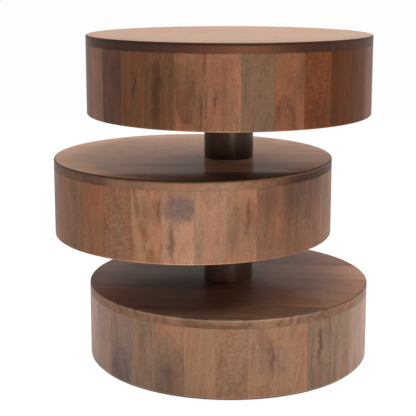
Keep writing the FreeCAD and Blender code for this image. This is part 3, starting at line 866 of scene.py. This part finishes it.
class Shader:
    """Builds the nodes of a material or a world. Most methods give back the socket they end in."""

    def __init__(self, owner):
        owner.use_nodes = True
        self.owner = owner
        self.tree = owner.node_tree
        self.tree.nodes.clear()

    def add(self, kind, inputs=(), **settings):
        node = self.tree.nodes.new(f"ShaderNode{kind}")
        for name, setting in settings.items():
            setattr(node, name, setting)
        for key, source in dict(inputs).items():
            if isinstance(source, bpy.types.NodeSocket):
                self.tree.links.new(source, node.inputs[key])
            else:
                node.inputs[key].default_value = source
        return node

    def attribute(self, name):
        return self.add("Attribute", attribute_name=name).outputs["Vector"]

    def place(self):
        """Where a point of a CAD node or of the felt lies, in metres."""
        return self.add("TexCoord").outputs["Object"]

    def math(self, operation, *values):
        return self.add("Math", enumerate(values), operation=operation).outputs[0]

    def vector(self, operation, *values):
        return self.add("VectorMath", enumerate(values), operation=operation).outputs["Vector"]

    def split(self, source):
        return self.add("SeparateXYZ", {0: source}).outputs

    def join(self, x, y, z):
        return self.add("CombineXYZ", {0: x, 1: y, 2: z}).outputs[0]

    def length(self, x, y):
        flat = self.join(x, y, 0.0)
        return self.add("VectorMath", {0: flat}, operation="LENGTH").outputs["Value"]

    def times(self, first, second):
        return self.math("MULTIPLY", first, second)

    def less(self, value):
        """What is left of 1 without a value."""
        return self.math("SUBTRACT", 1.0, value)

    def ranged(self, value, least, added):
        """The least, and a share of the value added to it."""
        return self.math("ADD", least, self.times(value, added))

    def noise(self, place, name):
        """The noise of that name, from 0 to 1."""
        scale, detail, roughness = NOISE[name]
        stretched = self.vector("MULTIPLY", place, scale)
        return self.add("TexNoise", {"Vector": stretched, "Scale": 1.0, "Detail": detail,
                                     "Roughness": roughness}).outputs["Fac"]

    def wander(self, place, name, reach):
        """The noise of that name, from minus to plus half the reach."""
        offset = self.math("SUBTRACT", self.noise(place, name), NOISE_MIDDLE)
        return self.times(offset, reach)

    def scatter(self, place, wave, reach):
        """A place moved about by up to half the reach each way."""
        stretched = self.vector("MULTIPLY", place, wave)
        node = self.add("TexNoise", {"Vector": stretched, "Scale": 1.0, "Detail": WAVE_DETAIL})
        offset = self.vector("SUBTRACT", node.outputs["Color"], (NOISE_MIDDLE,) * 3)
        return self.vector("ADD", place, self.vector("MULTIPLY", offset, (reach, reach, 0)))

    def step(self, value, name):
        """The smooth step of that name."""
        low, high = STEPS[name]
        return self.add("MapRange", {"Value": value, "From Min": low, "From Max": high},
                        interpolation_type="SMOOTHSTEP").outputs[0]

    def patch(self, place, name):
        """Patches from 0 to 1: the noise of that name, sharpened by its step."""
        return self.step(self.noise(place, name), name)

    def mix(self, share, first, second):
        return self.add("Mix", {0: share, 6: first, 7: second}, data_type="RGBA").outputs[2]

    def tint(self, colour, name):
        return self.vector("MULTIPLY", colour, TINTS[name])

    def bump(self, height, name):
        strength, depth = BUMPS[name]
        return self.add("Bump", {"Strength": strength, "Distance": depth, "Height": height}).outputs[0]

    def seen(self):
        """1 for what the eye, a reflection and clear glass see, 0 for the light on the object."""
        path = self.add("LightPath").outputs
        seen = self.math("MAXIMUM", path["Is Camera Ray"], path["Is Glossy Ray"])
        return self.math("MAXIMUM", seen, path["Is Transmission Ray"])

    def finish(self, normal, **inputs):
        """The surface itself: its numbers are set on the Principled shader's own sockets."""
        shader = self.add("BsdfPrincipled", {name.replace("_", " "): value
                                             for name, value in inputs.items()})
        self.tree.links.new(normal, shader.inputs["Normal"])
        self.add("OutputMaterial", {"Surface": shader.outputs[0]})
        return self.owner


def mark_mask(shader, place, name):
    """1 in the heart of a mark and 0 outside it, and the distance from it in its own sizes."""
    outline = MARKS[name]
    moved = shader.scatter(place, outline["wave"], outline["reach"])
    at, middle = shader.split(moved), shader.split(shader.attribute(name))
    up = shader.times(shader.math("SUBTRACT", at[0], middle[0]), outline["squash"])
    across = shader.math("SUBTRACT", at[1], middle[1])
    distance = shader.math("DIVIDE", shader.length(up, across), middle[2])
    edge = shader.noise(moved if outline["torn"] else place, f"{name} edge")
    ragged = shader.math("ADD", distance, shader.times(edge, outline["ragged"]))
    return shader.less(shader.step(ragged, name)), distance


def growth(shader, grain, knot_distance):
    """Darkness of the growth rings: contours of distance from the pith, bent round the knot."""
    at, heart = shader.split(grain), shader.split(shader.attribute("pith"))
    sway = shader.wander(grain, "ring bend", RING_SWAY)
    across = shader.math("ADD", shader.math("SUBTRACT", at[1], heart[0]), sway)
    depth = shader.math("SUBTRACT", at[2], heart[1])
    taper = shader.times(at[0], heart[2])
    width = shader.math("ADD", shader.math("POWER", knot_distance, 2.0), KNOT_CORE)
    pushed = shader.math("DIVIDE", KNOT_PUSH, width)
    ring = shader.math("ADD", shader.math("ADD", shader.length(across, depth), taper), pushed)
    uneven = shader.noise(shader.join(ring, 0.0, 0.0), "ring drift")
    phase = shader.math("ADD", shader.times(ring, RINGS_PER_METRE), shader.times(uneven, RING_DRIFT))
    year = shader.math("FRACT", phase)
    late = shader.times(shader.step(year, "late wood"), shader.less(shader.step(year, "year end")))
    return shader.times(late, shader.patch(grain, "ring gaps"))


def figured(shader, tone, grain, rings):
    """The timber's tone with its growth rings, pale and dark streaks and smoky patches."""
    figure = shader.split(shader.attribute("figure"))
    streak, late = shader.noise(grain, "streak"), shader.tint(tone, "late wood")
    colour = shader.mix(shader.times(rings, figure[0]), tone, late)
    bright = shader.times(shader.step(streak, "bright streak"), figure[1])
    colour = shader.mix(bright, colour, shader.tint(tone, "pale streak"))
    dark = shader.times(shader.step(streak, "dark streak"), figure[1])
    colour = shader.mix(shader.times(dark, DARK_STREAK_SHARE), colour, late)
    smoke = shader.times(shader.patch(grain, "smoke"), figure[2])
    return shader.mix(smoke, colour, shader.tint(tone, "smoke"))


def marked(shader, colour, tone, place, knot, marks):
    """That colour with the timber's stain, vein and burl over it; some stains are painted shade."""
    stain = shader.times(mark_mask(shader, place, "stain")[0], marks[1])
    colour = shader.mix(stain, colour, shader.tint(colour, "stain"))
    vein = shader.times(mark_mask(shader, place, "vein")[0], VEIN_SHARE)
    colour = shader.mix(vein, colour, shader.tint(tone, "vein"))
    burl = shader.mix(shader.patch(place, "burl mottle"), shader.tint(tone, "dark burl"),
                      shader.tint(tone, "pale burl"))
    return shader.mix(shader.times(knot, marks[0]), colour, burl)


def brightness(shader, grain, place, marks, fibre, pore):
    """Clouds, ripple, fibres, dashes, pores, curl and glue lines, as one factor."""
    curl = shader.times(shader.split(shader.attribute("curl"))[0], CURL_DARK)
    side = shader.split(place)
    to_joint = shader.math("SUBTRACT", side[2], shader.math("ABSOLUTE", side[1]))
    glue_line = shader.less(shader.step(to_joint, "glue line"))
    factors = (
        shader.ranged(shader.noise(grain, "cloud"), *CLOUD_LEVEL),
        shader.ranged(shader.noise(grain, "ripple"), *RIPPLE_LEVEL),
        shader.ranged(fibre, *FIBRE_LEVEL),
        shader.less(shader.times(shader.times(shader.patch(grain, "dash"), marks[2]), DASH_DARK)),
        shader.less(shader.times(pore, PORE_DARK)),
        shader.less(shader.times(shader.patch(grain, "curl"), curl)),
        shader.less(shader.times(glue_line, GLUE_DARK)),
    )
    level = factors[0]
    for factor in factors[1:]:
        level = shader.times(level, factor)
    return level


def wood(name):
    """Lacquered wood: rings, streaks, smoke, marks, pores and glue lines, from the timber's log."""
    shader = Shader(bpy.data.materials.new(name))
    place, straight = shader.attribute("local"), shader.attribute("grain")
    drift = shader.wander(straight, "grain drift", GRAIN_DRIFT)
    grain = shader.vector("ADD", straight, shader.join(0.0, drift, drift))
    tone, marks = shader.attribute("tone"), shader.split(shader.attribute("marks"))
    knot, knot_distance = mark_mask(shader, place, "knot")
    rings = growth(shader, grain, knot_distance)
    colour = figured(shader, tone, grain, rings)
    colour = marked(shader, colour, tone, place, knot, marks)
    colour = shader.mix(shader.patch(grain, "warmth"), shader.tint(colour, "cool"),
                        shader.tint(colour, "warm"))
    fibre, pore = shader.noise(grain, "fibre"), shader.patch(grain, "pore")
    level = brightness(shader, grain, place, marks, fibre, pore)
    colour = shader.vector("MULTIPLY", colour, shader.join(level, level, level))
    relief = shader.math("SUBTRACT", shader.times(fibre, GRAIN_RELIEF), pore)
    coat_weight, coat_rough = LACQUER[name]
    return shader.finish(shader.bump(relief, "lacquer"), Base_Color=colour,
                         Roughness=shader.ranged(fibre, *ROUGHNESS["lacquer"]),
                         Specular_IOR_Level=LACQUER_SPECULAR, Coat_Weight=coat_weight,
                         Coat_Roughness=coat_rough, Coat_IOR=LACQUER_IOR)


def plain_wood(name):
    """Plain timber of the inner blocks and the floor panels: streaks, late wood and pores."""
    shader = Shader(bpy.data.materials.new(name))
    place = shader.place()
    first, second, late, deep, coat_weight = PLAIN_WOODS[name]
    streak, pore = shader.noise(place, "plain streak"), shader.patch(place, "plain pore")
    ring = shader.patch(place, "plain ring")
    colour = shader.mix(streak, first, second)
    colour = shader.mix(shader.times(ring, PLAIN_RING_SHARE), colour, late)
    colour = shader.mix(shader.times(pore, PLAIN_PORE_SHARE), colour, deep)
    relief = shader.math("SUBTRACT", shader.times(streak, GRAIN_RELIEF), pore)
    return shader.finish(shader.bump(relief, "plain wood"), Base_Color=colour,
                         Roughness=shader.ranged(streak, *ROUGHNESS["plain wood"]),
                         Coat_Weight=coat_weight, Coat_Roughness=PLAIN_COAT_ROUGH)


def metal(name):
    """Turned or plated metal: fine tool marks round the axis, dull patches and specks."""
    shader = Shader(bpy.data.materials.new(name))
    place = shader.place()
    dark, light = METALS[name]
    patch, speck = shader.noise(place, "metal patch"), shader.patch(place, "metal speck")
    colour = shader.mix(patch, dark, light)
    colour = shader.mix(shader.times(speck, SPECK_SHARE), colour, dark)
    grooves = shader.noise(place, f"{name} grooves")
    return shader.finish(shader.bump(grooves, "metal"), Base_Color=colour, Metallic=1.0,
                         Roughness=shader.ranged(patch, *ROUGHNESS[name]))


def nylon():
    """Moulded plastic of the bushes: faint flow lines, a fine matt skin and grey wear."""
    shader = Shader(bpy.data.materials.new("nylon"))
    place = shader.place()
    flow, wear = shader.noise(place, "nylon flow"), shader.patch(place, "nylon wear")
    colour = shader.mix(flow, NYLON_DARK, NYLON_LIGHT)
    colour = shader.mix(shader.times(wear, WEAR_SHARE), colour, NYLON_WORN)
    skin = shader.noise(place, "nylon skin")
    return shader.finish(shader.bump(skin, "nylon"), Base_Color=colour,
                         Roughness=shader.ranged(flow, *ROUGHNESS["nylon"]))


def felt():
    """Pressed felt: matted hairs of two browns with a soft fuzzy relief."""
    shader = Shader(bpy.data.materials.new("felt"))
    place = shader.place()
    mat, hair = shader.noise(place, "felt mat"), shader.noise(place, "felt hair")
    colour = shader.mix(mat, FELT_DARK, FELT_LIGHT)
    colour = shader.mix(shader.times(shader.step(hair, "felt hair"), HAIR_SHARE), colour, FELT_HAIR)
    fuzz = shader.math("ADD", mat, hair)
    return shader.finish(shader.bump(fuzz, "felt"), Base_Color=colour,
                         Roughness=shader.ranged(mat, *ROUGHNESS["felt"]), Sheen_Weight=FELT_SHEEN)


def all_materials():
    """The material of each slot in the record."""
    materials = {name: wood(name) for name in LACQUER}
    materials.update({name: plain_wood(name) for name in PLAIN_WOODS})
    materials.update({name: metal(name) for name in METALS})
    materials.update({"nylon": nylon(), "felt": felt()})
    return materials


def dress_nodes(materials):
    """Gives every CAD node that stays its detailed material in place of the plain one."""
    slots = {row["node"]: row["material_slot"] for row in frame["record"]["subparts"]}
    for name, node in frame["nodes"].items():
        node.data.materials.clear()
        node.data.materials.append(materials[slots[name]])


def area_light(name, place, aim, size, power, colour, reflected):
    """A soft rectangular lamp."""
    light = bpy.data.lights.new(name, "AREA")
    light.color = colour
    light.shape = "RECTANGLE"
    light.size, light.size_y = size
    light.energy = power
    lamp = bpy.data.objects.new(name, light)
    lamp.location = place
    direction = Vector(aim) - Vector(place)
    lamp.rotation_euler = direction.to_track_quat("-Z", "Y").to_euler()
    lamp.visible_glossy = reflected
    bpy.context.scene.collection.objects.link(lamp)


def world_light():
    """White behind the object, for the eye and in reflections; as a light, dim at the front."""
    world = bpy.data.worlds.new("studio")
    bpy.context.scene.world = world
    shader = Shader(world)
    seen = shader.seen()
    toward = shader.split(shader.add("TexCoord").outputs["Generated"])
    overhead = shader.times(shader.step(toward[2], "world overhead"), WORLD_OVERHEAD_CUT)
    back = shader.times(shader.step(toward[1], "world back"), shader.less(overhead))
    light = shader.ranged(back, WORLD_FRONT, WORLD_BACK - WORLD_FRONT)
    strength = shader.math("ADD", seen, shader.times(light, shader.less(seen)))
    sky = shader.add("Background", {"Color": (1, 1, 1, 1), "Strength": strength})
    shader.add("OutputWorld", {"Surface": sky.outputs[0]})


def floor():
    """A wide pale floor: near white to the eye, with a faint trace of the table's shadow."""
    mesh = bpy.data.meshes.new("floor")
    mesh.from_pydata([(-FLOOR_HALF, -FLOOR_HALF, 0), (FLOOR_HALF, -FLOOR_HALF, 0),
                      (FLOOR_HALF, FLOOR_HALF, 0), (-FLOOR_HALF, FLOOR_HALF, 0)], [], [(0, 1, 2, 3)])
    plane = bpy.data.objects.new("floor", mesh)
    bpy.context.scene.collection.objects.link(plane)
    shader = Shader(bpy.data.materials.new("floor"))
    diffuse = shader.add("BsdfDiffuse", {"Color": FLOOR_COLOUR})
    glow = shader.add("Emission", {"Color": (1, 1, 1, 1), "Strength": FLOOR_GLOW})
    share = shader.times(shader.seen(), FLOOR_SEEN)
    both = shader.add("MixShader", {0: share, 1: diffuse.outputs[0], 2: glow.outputs[0]})
    shader.add("OutputMaterial", {"Surface": both.outputs[0]})
    mesh.materials.append(shader.owner)


def camera():
    """The photograph's view. The shift only moves the picture's centre to the fitted row."""
    data = bpy.data.cameras.new("camera")
    data.sensor_width = SENSOR
    data.lens = FOCAL_PIXELS * SENSOR / IMAGE_SIZE
    data.shift_y = (CENTRE_ROW - IMAGE_SIZE / 2) / IMAGE_SIZE
    view = bpy.data.objects.new("camera", data)
    view.location = CAMERA_PLACE
    view.rotation_euler = (math.radians(90 - CAMERA_PITCH), 0, math.radians(-CAMERA_YAW))
    bpy.context.scene.collection.objects.link(view)
    bpy.context.scene.camera = view


bpy.context.scene.view_settings.view_transform = "Standard"
materials = all_materials()
dress_nodes(materials)
for tier in TIERS:
    stave_wall(tier, materials["stave_wood"])
    top_panel(tier, materials["panel_wood"])
posts(materials["post_wood"])
felt_ring(materials["felt"])
floor()
world_light()
for lamp in LAMPS:
    area_light(*lamp)
camera()
